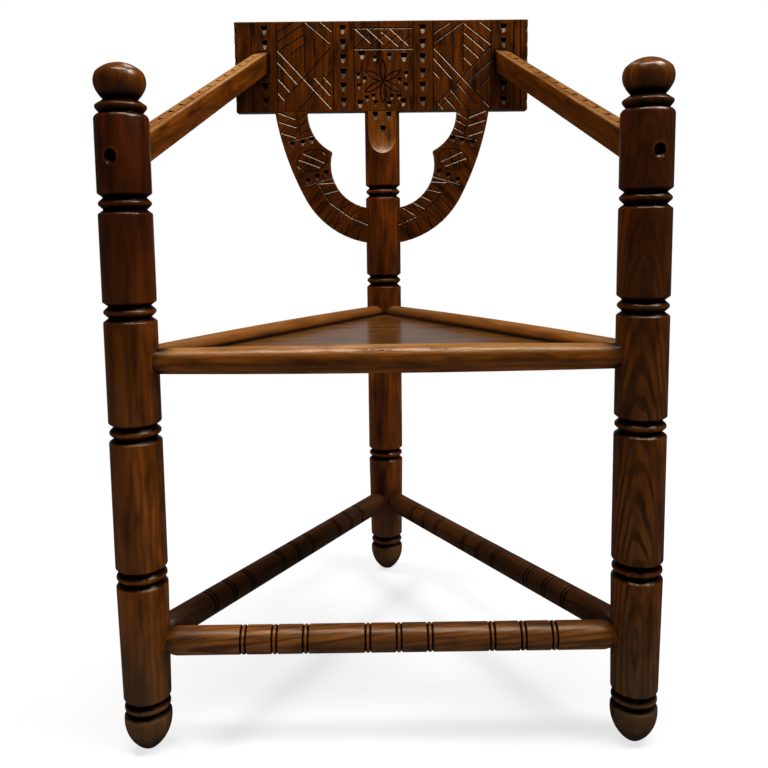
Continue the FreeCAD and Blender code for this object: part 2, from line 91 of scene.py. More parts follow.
def leg_outline(rings, top):
    """Half outline of a leg from the floor up, as (radius, height)."""
    shoulder = (foot_radius, foot_ring - ring_reach)
    outline = [(0, 0), (foot_flat, 0)]
    outline += bowed(outline[-1], shoulder, foot_bow, count=14)
    outline += ring_cuts(foot_ring, foot_radius)[1:]
    for height in rings:
        outline += ring_cuts(height, leg_radius)
    return outline + top


def draw(name, points):
    """A chain of edges through (x, z) points on the plane y = 0, left in edit mode."""
    bpy.ops.object.select_all(action="DESELECT")
    bpy.ops.mesh.primitive_plane_add(size=0.001)
    piece = bpy.context.object
    piece.name = name
    bpy.ops.object.mode_set(mode="EDIT")
    bpy.ops.mesh.merge(type="CENTER")
    bpy.ops.transform.translate(value=(points[0][0], 0, points[0][1]))
    for (x, z), (next_x, next_z) in zip(points, points[1:]):
        bpy.ops.mesh.extrude_region_move(TRANSFORM_OT_translate={"value": (next_x - x, 0, next_z - z)})
    bpy.ops.mesh.select_all(action="SELECT")
    return piece


def turned(name, outline):
    """A piece from the lathe: its half outline spun about the upright axis."""
    piece = draw(name, outline)
    bpy.ops.mesh.spin(steps=lathe_steps, angle=math.tau, center=(0, 0, 0), axis=(0, 0, 1))
    bpy.ops.mesh.select_all(action="SELECT")
    bpy.ops.mesh.remove_doubles(threshold=1e-6)
    bpy.ops.mesh.normals_make_consistent(inside=False)
    bpy.ops.object.mode_set(mode="OBJECT")
    return piece


def set_down(piece, place, turn=(0, 0, 0)):
    """Moves a piece to its place in the chair and leaves its object at the origin."""
    bpy.ops.object.select_all(action="DESELECT")
    piece.select_set(True)
    bpy.context.view_layer.objects.active = piece
    piece.location = place
    piece.rotation_euler = turn
    bpy.ops.object.transform_apply(location=True, rotation=True, scale=True)


def ease_edges(piece, width):
    """Rounds the sharp edges of a piece."""
    bpy.context.view_layer.objects.active = piece
    ease = piece.modifiers.new("ease", "BEVEL")
    ease.width = width
    ease.segments = 3
    ease.limit_method = "ANGLE"
    ease.angle_limit = math.radians(28)
    bpy.ops.object.modifier_apply(modifier=ease.name)


def take_out(piece, tools):
    """Takes the shape of each tool out of the piece."""
    kit = bpy.data.collections.new("kit")
    for tool in tools:
        kit.objects.link(tool)
    cut = piece.modifiers.new("cut", "BOOLEAN")
    cut.operation = "DIFFERENCE"
    cut.solver = "MANIFOLD"
    cut.operand_type = "COLLECTION"
    cut.collection = kit
    bpy.context.view_layer.objects.active = piece
    bpy.ops.object.modifier_apply(modifier=cut.name)
    for tool in tools:
        bpy.data.objects.remove(tool)
    bpy.data.collections.remove(kit)


def finish_piece(piece, material, node, crease=32):
    """Shades a piece smooth between creases, gives it its material, hangs it on the root body, and hides the
    CAD node it stands in for.
    """
    bpy.ops.object.select_all(action="DESELECT")
    piece.select_set(True)
    bpy.context.view_layer.objects.active = piece
    bpy.ops.object.shade_smooth_by_angle(angle=math.radians(crease))
    piece.data.materials.clear()
    piece.data.materials.append(material)
    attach(piece, "root")
    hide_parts(node)


def linear(colour):
    """Linear colour of an sRGB hex value."""
    parts = [int(colour[place:place + 2], 16) / 255 for place in (1, 3, 5)]
    return [c / 12.92 if c <= 0.04045 else ((c + 0.055) / 1.055) ** 2.4 for c in parts] + [1]


def add_node(tree, kind, inputs, **settings):
    """Adds a node; an input is a value, or the output that it is linked to."""
    node = tree.nodes.new(kind)
    for name, value in settings.items():
        setattr(node, name, value)
    for name, value in inputs.items():
        if isinstance(value, bpy.types.NodeSocket):
            tree.links.new(value, node.inputs[name])
        else:
            node.inputs[name].default_value = value
    return node


def stained_oak(
        name, pale, deep, heart, grain, ring_gap=0.007, wander=5.0, gloss=0.2, dirt_and_shade_reach=0.02,
        streak=0.45, figure=0.4, upper_shade=0.0, rubbed_and_lit_top=0.0, edge=None, ripple=0.25, arm_shadow=0.0,
        dull_cuts=0.0):
    """Ring-porous oak under a brown stain and wax.

    The stain sinks into the open pores, so each year's first wood makes a dark line and short dark
    streaks along the grain, and it took unevenly, in dark clouds. The cuts are black, partly old wax and
    dust in them and partly painted shade; painted shade also darkens the corners where pieces meet, and
    edges are rubbed paler. heart is a point on the middle of the tree, grain turns the upright to the way
    of the grain, streak and figure are the strength of the dark streaks and of the year rings, upper_shade
    is how much painted shade darkens the wood from the seat up, rubbed_and_lit_top how far faces that look
    up are made pale, partly as wear and partly as painted light, edge the colour of rubbed edges, if it
    isn't pale, which on the arms is also a painted highlight, ripple how uneven the surface is, arm_shadow
    how much painted shadow of the arms darkens the ends of the crest board, and dull_cuts how much of the
    gloss the darkened grooves lose.
    """
    upper_shade_tint = linear("#a08058")
    floor_scuff = linear("#4a3818")
    bare_oak_and_top_light = linear("#926432")
    dark_dust_and_shade = linear("#140600")
    black_dirt_and_shade = linear("#0a0300")
    wax_tint = linear("#ffe4c4")
    wax_shine = 0.4
    material = bpy.data.materials.new(name)
    material.use_nodes = True
    tree = material.node_tree
    tree.nodes.clear()
    where = add_node(tree, "ShaderNodeTexCoord", {})
    # One unit is 10 mm across the grain and 50 mm along it.
    wood = add_node(tree, "ShaderNodeMapping", {
        "Vector": where.outputs["Object"], "Location": heart,
        "Rotation": [math.radians(angle) for angle in grain], "Scale": (0.01, 0.01, 0.05),
    }, vector_type="TEXTURE")
    # The wave repeats every 0.314 units at scale 1, so this spaces the year rings by ring_gap.
    rings = add_node(tree, "ShaderNodeTexWave", {
        "Vector": wood.outputs[0], "Scale": 0.00314 / ring_gap, "Distortion": wander,
        "Detail": 2.0, "Detail Scale": 0.6 * ring_gap / 0.00314,
    }, wave_type="RINGS", rings_direction="Z", wave_profile="SIN")
    early = add_node(tree, "ShaderNodeMapRange", {
        "Value": rings.outputs["Fac"], "From Min": 0.40, "From Max": 0.95}, interpolation_type="SMOOTHSTEP")
    # Clouds in the stain about 18 mm wide and 90 mm long, in which the year rings come and go.
    clouds = add_node(tree, "ShaderNodeTexNoise", {
        "Vector": wood.outputs[0], "Scale": 0.55, "Detail": 2.0, "Roughness": 0.5, "Distortion": 0.6})
    clouded = add_node(tree, "ShaderNodeMapRange", {
        "Value": clouds.outputs["Fac"], "From Min": 0.36, "From Max": 0.62,
        "To Min": 0.2 * figure, "To Max": figure})
    # Dark streaks about 10 mm wide and 50 mm long, frayed at their edges.
    streaks = add_node(tree, "ShaderNodeTexNoise", {
        "Vector": wood.outputs[0], "Scale": 1.0, "Detail": 2.5, "Roughness": 0.5, "Distortion": 0.4})
    streaked = add_node(tree, "ShaderNodeMapRange", {
        "Value": streaks.outputs["Fac"], "From Min": 0.42, "From Max": 0.66, "To Max": streak})
    blotched = add_node(tree, "ShaderNodeMapRange", {
        "Value": clouds.outputs["Fac"], "From Min": 0.62, "From Max": 0.40, "To Max": 0.5})
    soaked = add_node(tree, "ShaderNodeMath", {
        0: streaked.outputs[0], 1: blotched.outputs[0]}, operation="ADD", use_clamp=True)
    # Pores about 0.8 mm wide and 4 mm long, drawn coarser than real ones so that they show.
    pores = add_node(tree, "ShaderNodeTexNoise", {
        "Vector": wood.outputs[0], "Scale": 12.0, "Detail": 2.0, "Roughness": 0.55})
    open_pores = add_node(tree, "ShaderNodeMapRange", {
        "Value": pores.outputs["Fac"], "From Min": 0.50, "From Max": 0.36})
    # Painted shade darkens the wood from the seat up, and hides the year rings there.
    place = add_node(tree, "ShaderNodeSeparateXYZ", {0: where.outputs["Object"]})
    upper_shade_ramp = add_node(tree, "ShaderNodeMapRange", {
        "Value": place.outputs["Z"], "From Min": 0.33, "From Max": 0.56, "To Max": upper_shade})
    # On the balls at the tops of the legs the painted shade is lighter.
    finial = add_node(tree, "ShaderNodeMapRange", {
        "Value": place.outputs["Z"], "From Min": 0.690, "From Max": 0.706, "To Min": 1.0, "To Max": 0.3})
    upper_shade_share = add_node(tree, "ShaderNodeMath", {
        0: upper_shade_ramp.outputs[0], 1: finial.outputs[0]}, operation="MULTIPLY")
    veiled = add_node(tree, "ShaderNodeMath", {
        0: upper_shade_ramp.outputs[0], 1: -0.6, 2: 1.0}, operation="MULTIPLY_ADD")
    year = add_node(tree, "ShaderNodeMath", {
        0: early.outputs[0], 1: clouded.outputs[0]}, operation="MULTIPLY")
    shown = add_node(tree, "ShaderNodeMath", {
        0: year.outputs[0], 1: veiled.outputs[0]}, operation="MULTIPLY")
    ringed = add_node(tree, "ShaderNodeMix", {
        0: shown.outputs[0], 6: linear(pale), 7: linear(deep)}, data_type="RGBA")
    stained = add_node(tree, "ShaderNodeMix", {
        0: soaked.outputs[0], 6: ringed.outputs[2], 7: linear(deep)}, data_type="RGBA")
    upper_shaded = add_node(tree, "ShaderNodeMix", {
        0: upper_shade_share.outputs[0], 6: stained.outputs[2], 7: upper_shade_tint}, data_type="RGBA", blend_type="MULTIPLY")
    pored = add_node(tree, "ShaderNodeMath", {0: open_pores.outputs[0], 1: 0.09}, operation="MULTIPLY")
    # Feet are scuffed and dusty near the floor.
    scuff = add_node(tree, "ShaderNodeMapRange", {
        "Value": place.outputs["Z"], "From Min": 0.16, "From Max": 0.03, "To Max": 0.5})
    scuffed = add_node(tree, "ShaderNodeMix", {
        0: scuff.outputs[0], 6: upper_shaded.outputs[2], 7: floor_scuff}, data_type="RGBA")
    flecked = add_node(tree, "ShaderNodeMix", {
        0: pored.outputs[0], 6: scuffed.outputs[2], 7: dark_dust_and_shade}, data_type="RGBA")
    # Upward faces are made pale in patches, partly as wear and partly as painted light from above.
    lie = add_node(tree, "ShaderNodeNewGeometry", {})
    lie_parts = add_node(tree, "ShaderNodeSeparateXYZ", {0: lie.outputs["Normal"]})
    upward = add_node(tree, "ShaderNodeMapRange", {
        "Value": lie_parts.outputs["Z"], "From Min": 0.3, "From Max": 0.85, "To Max": rubbed_and_lit_top})
    patched = add_node(tree, "ShaderNodeMapRange", {
        "Value": clouds.outputs["Fac"], "From Min": 0.66, "From Max": 0.40, "To Min": 0.2, "To Max": 1.0})
    rubbed_and_lit = add_node(tree, "ShaderNodeMath", {
        0: upward.outputs[0], 1: patched.outputs[0]}, operation="MULTIPLY")
    topped = add_node(tree, "ShaderNodeMix", {
        0: rubbed_and_lit.outputs[0], 6: flecked.outputs[2], 7: bare_oak_and_top_light}, data_type="RGBA")
    # Edges rubbed through the stain: rays inside the wood find the surface near at hand.
    # On the arms the lighter edge colour also paints a highlight along the edges.
    rim = add_node(tree, "ShaderNodeAmbientOcclusion", {"Distance": 0.004}, inside=True, samples=8)
    rubbed = add_node(tree, "ShaderNodeMapRange", {
        "Value": rim.outputs["AO"], "From Min": 0.92, "From Max": 0.55, "To Max": 0.6})
    worn_and_glinting = add_node(tree, "ShaderNodeMix", {
        0: rubbed.outputs[0], 6: topped.outputs[2], 7: linear(edge or pale)}, data_type="RGBA")
    # Painted shade darkens the corners where pieces meet, within 30 mm of other surfaces.
    corner = add_node(tree, "ShaderNodeAmbientOcclusion", {"Distance": 0.03}, samples=8)
    corner_shade = add_node(tree, "ShaderNodeMapRange", {
        "Value": corner.outputs["AO"], "From Min": 0.94, "From Max": 0.5, "To Max": 0.55})
    # Painted shadow of the arms darkens the ends of the crest board below them.
    outward = add_node(tree, "ShaderNodeMath", {0: place.outputs["X"]}, operation="ABSOLUTE")
    at_end = add_node(tree, "ShaderNodeMapRange", {
        "Value": outward.outputs[0], "From Min": 0.155, "From Max": 0.185, "To Max": arm_shadow})
    below_arm = add_node(tree, "ShaderNodeMapRange", {
        "Value": place.outputs["Z"], "From Min": 0.845, "From Max": 0.815})
    arm_shadow_mask = add_node(tree, "ShaderNodeMath", {
        0: at_end.outputs[0], 1: below_arm.outputs[0]}, operation="MULTIPLY")
    shaded = add_node(tree, "ShaderNodeMath", {
        0: arm_shadow_mask.outputs[0], 1: corner_shade.outputs[0]}, operation="MAXIMUM")
    dulled = add_node(tree, "ShaderNodeMix", {
        0: shaded.outputs[0], 6: worn_and_glinting.outputs[2], 7: dark_dust_and_shade}, data_type="RGBA")
    # The cuts are blackened, partly as old wax and dust and partly as painted shade; on turned pieces with
    # dull cuts only their own grooves count, not the joints with other pieces.
    hollow = add_node(tree, "ShaderNodeAmbientOcclusion", {
        "Distance": dirt_and_shade_reach}, only_local=dull_cuts > 0, samples=8)
    dirt_and_shade = add_node(tree, "ShaderNodeMapRange", {
        "Value": hollow.outputs["AO"], "From Min": 0.97, "From Max": 0.78})
    dirty_and_shaded = add_node(tree, "ShaderNodeMix", {
        0: dirt_and_shade.outputs[0], 6: dulled.outputs[2], 7: black_dirt_and_shade}, data_type="RGBA")
    # The wax is dull in the pores and near the floor.
    rough = add_node(tree, "ShaderNodeMapRange", {
        "Value": pored.outputs[0], "To Min": gloss, "To Max": gloss + 0.3})
    rough_foot = add_node(tree, "ShaderNodeMath", {
        0: scuff.outputs[0], 1: 0.6, 2: rough.outputs[0]}, operation="MULTIPLY_ADD")
    dents = add_node(tree, "ShaderNodeBump", {
        "Height": open_pores.outputs[0], "Strength": 0.05, "Distance": 0.0004}, invert=True)
    # Old hand work is never quite even, so the gloss runs in broken lines.
    uneven = add_node(tree, "ShaderNodeBump", {
        "Height": streaks.outputs["Fac"], "Strength": ripple, "Distance": 0.004, "Normal": dents.outputs[0]})
    surface = add_node(tree, "ShaderNodeBsdfPrincipled", {
        "Base Color": dirty_and_shaded.outputs[2], "Roughness": rough_foot.outputs[0], "Normal": uneven.outputs[0],
        "IOR": 1.5, "Specular IOR Level": wax_shine, "Specular Tint": wax_tint})
    if dull_cuts > 0:
        # The darkened dull cuts hardly shine.
        sheen = add_node(tree, "ShaderNodeMapRange", {
            "Value": dirt_and_shade.outputs[0], "To Min": wax_shine, "To Max": wax_shine * (1 - dull_cuts)})
        tree.links.new(sheen.outputs[0], surface.inputs["Specular IOR Level"])
    add_node(tree, "ShaderNodeOutputMaterial", {"Surface": surface.outputs[0]})
    return material


# Half outline above the arm ring: a rounded shoulder, a collar, a neck, and the ball in three arcs.
ball_outline = [(leg_radius, 0.6835)] + bowed((leg_radius, 0.6835), (0.0215, 0.689), 0.0065, count=5)
ball_outline += [(0.0259, 0.6947), (0.0259, 0.6973), (0.0172, 0.703)]
ball_outline += bowed((0.0172, 0.703), (0.0235, 0.7114), 0.0333, count=5)
ball_outline += bowed((0.0235, 0.7114), (0.0235, 0.7306), 0.0184, count=12)
ball_outline += bowed((0.0235, 0.7306), (0, 0.7404), 0.0333, count=8)
front_outline = leg_outline((shin_ring, knee_ring, seat_ring, arm_ring), ball_outline)
# Both front leg materials paint shade on the wood from the seat up.
front_leg_oak = {
    -1: stained_oak(
        "stained_oak_left_leg", "#763c06", "#180500", (-0.315, -0.30, 0), (0.8, -0.6, 0), gloss=0.28,
        streak=0.3, upper_shade=0.95, dull_cuts=0.85),
    1: stained_oak(
        "stained_oak_right_leg", "#6a3606", "#160600", (0.2614, -0.2601, 0.12), (9, -3, 0), ring_gap=0.006,
        wander=4.0, gloss=0.28, streak=0.35, figure=0.75, upper_shade=0.8, dull_cuts=0.85),
}
for side, name in ((-1, "left"), (1, "right")):
    leg = turned(f"{name}_leg_turned", front_outline)
    ease_edges(leg, leg_ease)
    set_down(leg, front_legs[side])
    level = Vector((side * arm_head.x, arm_head.y, 0)) - front_legs[side]
    bore_way = level.normalized() * math.cos(counterbore_rise) + Vector((0, 0, math.sin(counterbore_rise)))
    bore_mouth = front_legs[side] + Vector((0, 0, counterbore_height)) - bore_way * leg_radius
    bpy.ops.object.select_all(action="DESELECT")
    bpy.ops.mesh.primitive_cylinder_add(
        vertices=48, radius=counterbore_radius, depth=counterbore_depth * 2, location=bore_mouth,
        rotation=bore_way.to_track_quat("Z", "Y").to_euler())
    bore = bpy.context.object
    bpy.ops.object.select_all(action="DESELECT")
    bpy.ops.mesh.primitive_cone_add(
        vertices=48, radius1=chamfer_mouth, radius2=chamfer_throat, depth=chamfer_run,
        location=bore_mouth, rotation=bore_way.to_track_quat("Z", "Y").to_euler())
    chamfer = bpy.context.object
    take_out(leg, [bore, chamfer])
    finish_piece(leg, front_leg_oak[side], f"front_{name}_leg")

# Rear leg. The third oak post, from the same lathe and stain. Its upper front is sawn away for the
# crest board, and a flat is scooped below the board, with a short run-out and three chip cuts.
rear_leg = Vector((0, 0.234, 0))
rear_arm_ring = 0.628
rear_top = 0.881
rear_chamfer = 0.004
board_face = 0.2175
board_back = 0.2395
board_bottom = 0.753
flat_bottom = 0.724
runout_radius = 0.066
saw_front = 0.15
saw_half = 0.05
saw_top = 0.90
saw_overrun = 0.01
crest_screw_heights = (0.787, 0.857)
crest_bore_radius = 0.005
crest_bore_depth = 0.006
mm = 0.001
rear_outline = leg_outline((shin_ring, knee_ring, seat_ring, rear_arm_ring), [
    (leg_radius, rear_top - rear_chamfer), (leg_radius - rear_chamfer, rear_top), (0, rear_top)])
post = turned("rear_leg_turned", rear_outline)
ease_edges(post, leg_ease)
set_down(post, rear_leg)


def block(low, high):
    """A box between two corners, to be cut with or to be shaped."""
    bpy.ops.object.select_all(action="DESELECT")
    bpy.ops.mesh.primitive_cube_add(
        size=1, location=(Vector(low) + Vector(high)) / 2, scale=Vector(high) - Vector(low))
    bpy.ops.object.transform_apply(location=True, rotation=True, scale=True)
    return bpy.context.object


notch = block((-saw_half, saw_front, board_bottom), (saw_half, board_back, saw_top))
flat = block((-saw_half, saw_front, flat_bottom), (saw_half, board_face, board_bottom + saw_overrun))
bpy.ops.object.select_all(action="DESELECT")
bpy.ops.mesh.primitive_cylinder_add(
    vertices=128, radius=runout_radius, depth=saw_half * 2,
    location=(0, board_face - runout_radius, flat_bottom), rotation=(0, math.pi / 2, 0))
runout = bpy.context.object
rear_bores = []
for height in crest_screw_heights:
    bpy.ops.object.select_all(action="DESELECT")
    bpy.ops.mesh.primitive_cylinder_add(
        vertices=48, radius=crest_bore_radius, depth=crest_bore_depth * 2,
        location=rear_leg + Vector((0, leg_radius, height)), rotation=(math.pi / 2, 0, 0))
    rear_bores.append(bpy.context.object)
take_out(post, [notch, flat, runout, *rear_bores])


def pick(piece, where):
    """Goes into edit mode with the corners of a piece picked by where they are."""
    bpy.ops.object.select_all(action="DESELECT")
    piece.select_set(True)
    bpy.context.view_layer.objects.active = piece
    bpy.ops.object.mode_set(mode="EDIT")
    bpy.ops.mesh.select_mode(type="VERT")
    bpy.ops.mesh.select_all(action="DESELECT")
    bpy.ops.object.mode_set(mode="OBJECT")
    for corner in piece.data.vertices:
        corner.select = where(corner.co)
    bpy.ops.object.mode_set(mode="EDIT")


# The carver's three-cornered chip, 1 unit each way: stabbed down along its upper edge, then pared up from
# its narrow lower end, so that its floor slopes and catches the light from above.
chip_narrow = 0.3
chip_slope = -0.48
chip_floor = 0.76
chip_stab = -0.06
chip = block((-0.5, -0.1, -0.5), (0.5, 0.5, 0.5))
pick(chip, lambda place: place.z < 0)
bpy.ops.transform.resize(value=(chip_narrow, 1, 1), center_override=(0, 0, 0))
bpy.ops.object.mode_set(mode="OBJECT")
pick(chip, lambda place: place.z < 0 and place.y > 0.4)
bpy.ops.transform.translate(value=(0, chip_slope, 0))
bpy.ops.object.mode_set(mode="OBJECT")
pick(chip, lambda place: place.y > 0.4)
bpy.ops.transform.resize(value=(chip_floor, 1, 1), center_override=(0, 0, 0))
bpy.ops.transform.translate(value=(0, 0, chip_stab))
bpy.ops.object.mode_set(mode="OBJECT")
carver = random.Random(4)
carved_face = Matrix.Translation((0, board_face, board_bottom))


def mark(tool, face, x, z, size, turn=0.0):
    """A copy of a carving tool on a face, at a place and size in millimetres."""
    copy = tool.copy()
    copy.data = tool.data.copy()
    bpy.context.collection.objects.link(copy)
    copy.matrix_world = (
        face @ Matrix.Translation((x * mm, 0, z * mm)) @ Matrix.Rotation(turn, 4, "Y")
        @ Matrix.Diagonal((size[0] * mm, size[1] * mm, size[2] * mm, 1)))
    return copy


def chip_cut(face, x, z, width, height, depth=0.5):
    """A chip of that width and height, a little uneven as cut by hand; its depth is a share of its width."""
    lean = carver.uniform(-0.08, 0.08)
    size = (width * carver.uniform(0.92, 1.08), width * depth * 2, height * carver.uniform(0.92, 1.08))
    return mark(chip, face, x, z, size, lean)


tongue_chip = (11, 14)
tongue_chips = ((-10.4, -7.2), (10.9, -7.4), (1.2, -29))
take_out(post, [chip_cut(carved_face, x, z, *tongue_chip) for x, z in tongue_chips])
rear_heart = (0.03, 0.20, 0)
rear_grain = (-1.5, 1.0, 0)
# The rear leg's material paints shade from the seat up as well.
rear_leg_oak = stained_oak(
    "stained_oak_rear_leg", "#7a3804", "#1a0800", rear_heart, rear_grain, gloss=0.28, streak=0.36,
    upper_shade=0.4, dull_cuts=0.85)
finish_piece(post, rear_leg_oak, "rear_leg")
# The scooped flat was cut through the stain and is paler: faces above the run-out's foot that look to the
# front and lie under the round of the post.
scoop_foot = 0.69
scoop_front = -0.7
scoop_least = 0.0006
scooped_oak = stained_oak(
    "stained_oak_scooped_flat", "#82460a", "#3a1602", rear_heart, rear_grain, gloss=0.3)
post.data.materials.append(scooped_oak)
for side_face in post.data.polygons:
    inward = leg_radius - (side_face.center.xy - rear_leg.xy).length
    if side_face.center.z > scoop_foot and side_face.normal.y < scoop_front and inward > scoop_least:
        side_face.material_index = 1

# Seat rails. Three round oak rails, a little fuller in the middle, turned and tenoned into the legs
# just below the seat. The front one is the brightest, its top made pale partly as wear and partly as
# painted light, and has an old shake along it.
rail_height = 0.4325
rail_radius = 0.0155
rail_end_radius = 0.0135
end_sink = 0.006
shake_lean = math.radians(-46)
shake_width = 0.9
shake_depth = 0.6


def lay_between(piece, start, end):
    """Lays an upright piece along the line between two points."""
    way = end - start
    set_down(piece, (start + end) / 2, way.to_track_quat("Z", "Y").to_euler())


def axis_points(first, second, height):
    """Points on two legs' axes at a height."""
    return first + Vector((0, 0, height)), second + Vector((0, 0, height))


# The carver's V tool: a four-sided bar along x, 1 unit long, half of it under the face, with drawn-out
# ends.
v_tool_bar = 0.97
v_tool_end = 0.015
bpy.ops.object.select_all(action="DESELECT")
bpy.ops.mesh.primitive_cylinder_add(vertices=4, radius=1, depth=v_tool_bar, rotation=(0, math.pi / 2, 0))
bpy.ops.object.transform_apply(location=True, rotation=True, scale=True)
v_tool = bpy.context.object
for end in (-1, 1):
    bpy.ops.object.mode_set(mode="EDIT")
    bpy.ops.mesh.select_all(action="DESELECT")
    bpy.ops.mesh.select_mode(type="FACE")
    bpy.ops.object.mode_set(mode="OBJECT")
    for side_face in v_tool.data.polygons:
        side_face.select = side_face.normal.x * end > 0.9
    bpy.ops.object.mode_set(mode="EDIT")
    bpy.ops.mesh.extrude_region_move(TRANSFORM_OT_translate={"value": (end * v_tool_end, 0, 0)})
    bpy.ops.mesh.merge(type="COLLAPSE")
    bpy.ops.mesh.select_mode(type="VERT")
    bpy.ops.object.mode_set(mode="OBJECT")


def line_cut(face, start, end, width=2.8, depth=0.9):
    """A straight V line on a face, between two places in millimetres."""
    way = Vector(end) - Vector(start)
    middle = (Vector(start) + Vector(end)) / 2
    size = (way.length + width, depth, width / 2)
    return mark(v_tool, face, middle.x, middle.y, size, -math.atan2(way.y, way.x))


# The shake is a dry crack along the upper front of the front rail, open in short runs.
shake_face = Matrix.Translation((0, front_line, rail_height)) @ Matrix.Rotation(shake_lean, 4, "X")
shake_face = shake_face @ Matrix.Translation((0, -rail_radius, 0))
shake = (
    ((-27, 0.2), (-21, 0)), ((-18, -0.2), (-13, -0.4)), ((-10, -0.6), (-4, -0.5)), ((-1, -0.4), (4, -0.6)),
    ((45, 0.6), (50, 0.5)), ((52, 0.7), (57, 0.6)), ((59, 0.5), (62, 0.6)), ((84, 0.9), (183, 1.2)))
rail_ways = {
    "front": (front_legs[-1], front_legs[1]),
    "left": (front_legs[-1], rear_leg),
    "right": (front_legs[1], rear_leg),
}
# The rails' faces that look up are made pale, partly as wear and partly as painted light.
rail_oak = {
    "front": stained_oak(
        "stained_oak_front_rail", "#7a400a", "#200a00", (0, -0.25, 0.40), (0, 90, 1), gloss=0.28,
        rubbed_and_lit_top=0.8, streak=0.35),
    "left": stained_oak(
        "stained_oak_left_rail", "#743c0a", "#2a1002", (-0.135, 0, 0.40), (0, 90, 60), gloss=0.28,
        dirt_and_shade_reach=0.006, rubbed_and_lit_top=0.5),
    "right": stained_oak(
        "stained_oak_right_rail", "#743c0a", "#2a1002", (0.135, 0, 0.40), (0, 90, 120), gloss=0.28,
        dirt_and_shade_reach=0.006, rubbed_and_lit_top=0.5),
}
for name, (first, second) in rail_ways.items():
    half = (second - first).length / 2 - leg_radius + end_sink
    swell = rail_radius - rail_end_radius
    sweep_radius = (half * half + swell * swell) / (2 * swell)
    outline = [(0, -half), (rail_end_radius, -half)]
    outline += bowed(outline[-1], (rail_end_radius, half), sweep_radius, count=24)
    rail = turned(f"{name}_rail_turned", outline + [(0, half)])
    lay_between(rail, *axis_points(first, second, rail_height))
    if name == "front":
        take_out(rail, [line_cut(shake_face, *run, shake_width, shake_depth) for run in shake])
    finish_piece(rail, rail_oak[name], f"{name}_seat_rail")

# Stretchers. Three round oak bars low between the legs, turned with rounded ends. Each has nine pairs
# of V lines, cut in three groups of three while it turned, and tenons glued into the legs.
stretcher_height = 0.1215
stretcher_radius = 0.0155
stretcher_end_radius = 0.012
stretcher_end_run = 0.012
stretcher_end_bow = 0.025
stretcher_ease = 0.0004
line_group_gap = 0.136
line_pair_gap = 0.034
line_half_gap = 0.0026
line_half_width = 0.0013
line_depth = 0.0017
# The groups on the front bar sit a little to the right of its middle.
line_shift = {"front": 0.009, "left": 0.0, "right": 0.0}
stretcher_oak = {
    "front": stained_oak(
        "stained_oak_front_stretcher", "#824814", "#220c02", (0, -0.252, 0.126), (0, 86, 3), ring_gap=0.006,
        wander=4.0, gloss=0.31, figure=0.75, dull_cuts=0.8),
    "left": stained_oak(
        "stained_oak_left_stretcher", "#482006", "#1e0a00", (-0.135, 0, 0.09), (0, 90, 60), gloss=0.4,
        dull_cuts=1.0),
    "right": stained_oak(
        "stained_oak_right_stretcher", "#502406", "#1e0a00", (0.135, 0, 0.09), (0, 90, 120), gloss=0.4,
        dull_cuts=1.0),
}
line_places = [
    group * line_group_gap + pair * line_pair_gap + line * line_half_gap
    for group in (-1, 0, 1) for pair in (-1, 0, 1) for line in (-1, 1)]
for name, (first, second) in rail_ways.items():
    half = (second - first).length / 2 - foot_radius
    shoulder = half - stretcher_end_run
    outline = [(0, -half - end_sink), (stretcher_end_radius, -half - end_sink)]
    outline += [(stretcher_end_radius, -half)]
    outline += bowed(outline[-1], (stretcher_radius, -shoulder), stretcher_end_bow, count=5)
    for middle in line_places:
        place = middle + line_shift[name]
        outline += [
            (stretcher_radius, place - line_half_width), (stretcher_radius - line_depth, place),
            (stretcher_radius, place + line_half_width)]
    outline += [(stretcher_radius, shoulder)]
    outline += bowed(outline[-1], (stretcher_end_radius, half), stretcher_end_bow, count=5)
    outline += [(stretcher_end_radius, half + end_sink), (0, half + end_sink)]
    stretcher = turned(f"{name}_stretcher_turned", outline)
    ease_edges(stretcher, stretcher_ease)
    lay_between(stretcher, *axis_points(first, second, stretcher_height))
    finish_piece(stretcher, stretcher_oak[name], f"{name}_stretcher")

# Seat panel. A flat three-cornered oak board with its tongue in the grooves of the rails. It is
# stained as the rest and polished by use, so it mirrors the light behind the chair.
seat_panel_oak = stained_oak(
    "polished_oak_seat", "#5e3a18", "#2a1606", (0, 0.05, 0.39), (0, 90, 0.6), ring_gap=0.009, wander=4.0,
    streak=0.5, ripple=0.05)
seat_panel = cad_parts["seat_panel"]
seat_panel.data.materials.clear()
seat_panel.data.materials.append(seat_panel_oak)

# Crest board. A flat oak board let into the rear leg, chip carved on its face: columns of three-cornered
# chips between ruled lines, straps and hatching in two fields, and a compass rosette in the middle.
board_width = 0.458
board_top = 0.891
board_ease = 0.0012
board = block((-board_width / 2, board_face, board_bottom), (board_width / 2, board_back, board_top))
board.name = "crest_board_carved"
ease_edges(board, board_ease)

# Places on the carved face in millimetres, from the middle of its lower edge.
ruled_lines = (-203.2, -163.3, -75.7, -42.8, 49.5, 80.8, 171.6, 206.8, 217.8)
chip_columns = (-182.1, -60.0, 64.4, 191.2)
chip_rows = (125.3, 103.2, 81.2, 58.4, 37.8, 15.0)
left_field = (
    ((-120.3, 139), (-120.3, 59)), ((-105, 112), (-105, 87)),
    ((-117.6, 136.4), (-79.9, 104.8)), ((-93.4, 136.4), (-77.7, 123.3)), ((-162.5, 94.6), (-79.1, 4.7)),
    ((-162.5, 76.9), (-132.5, 43.4)), ((-161.3, 50.3), (-144.8, 32)), ((-162.5, 29.9), (-153.5, 19.1)),
    ((-104.6, 52), (-81.1, 25.6)), ((-89.4, 52), (-79.9, 41.9)),
    ((-149.5, 22.3), (-79.9, 97.2)), ((-127.3, 5.1), (-78.8, 61.4)),
    ((-162.5, 121.2), (-137.8, 136.4)), ((-161.3, 107.3), (-122.2, 132.6)),
    ((-158.6, 94.6), (-122.2, 116.2)), ((-140.3, 88.3), (-122.2, 101)))
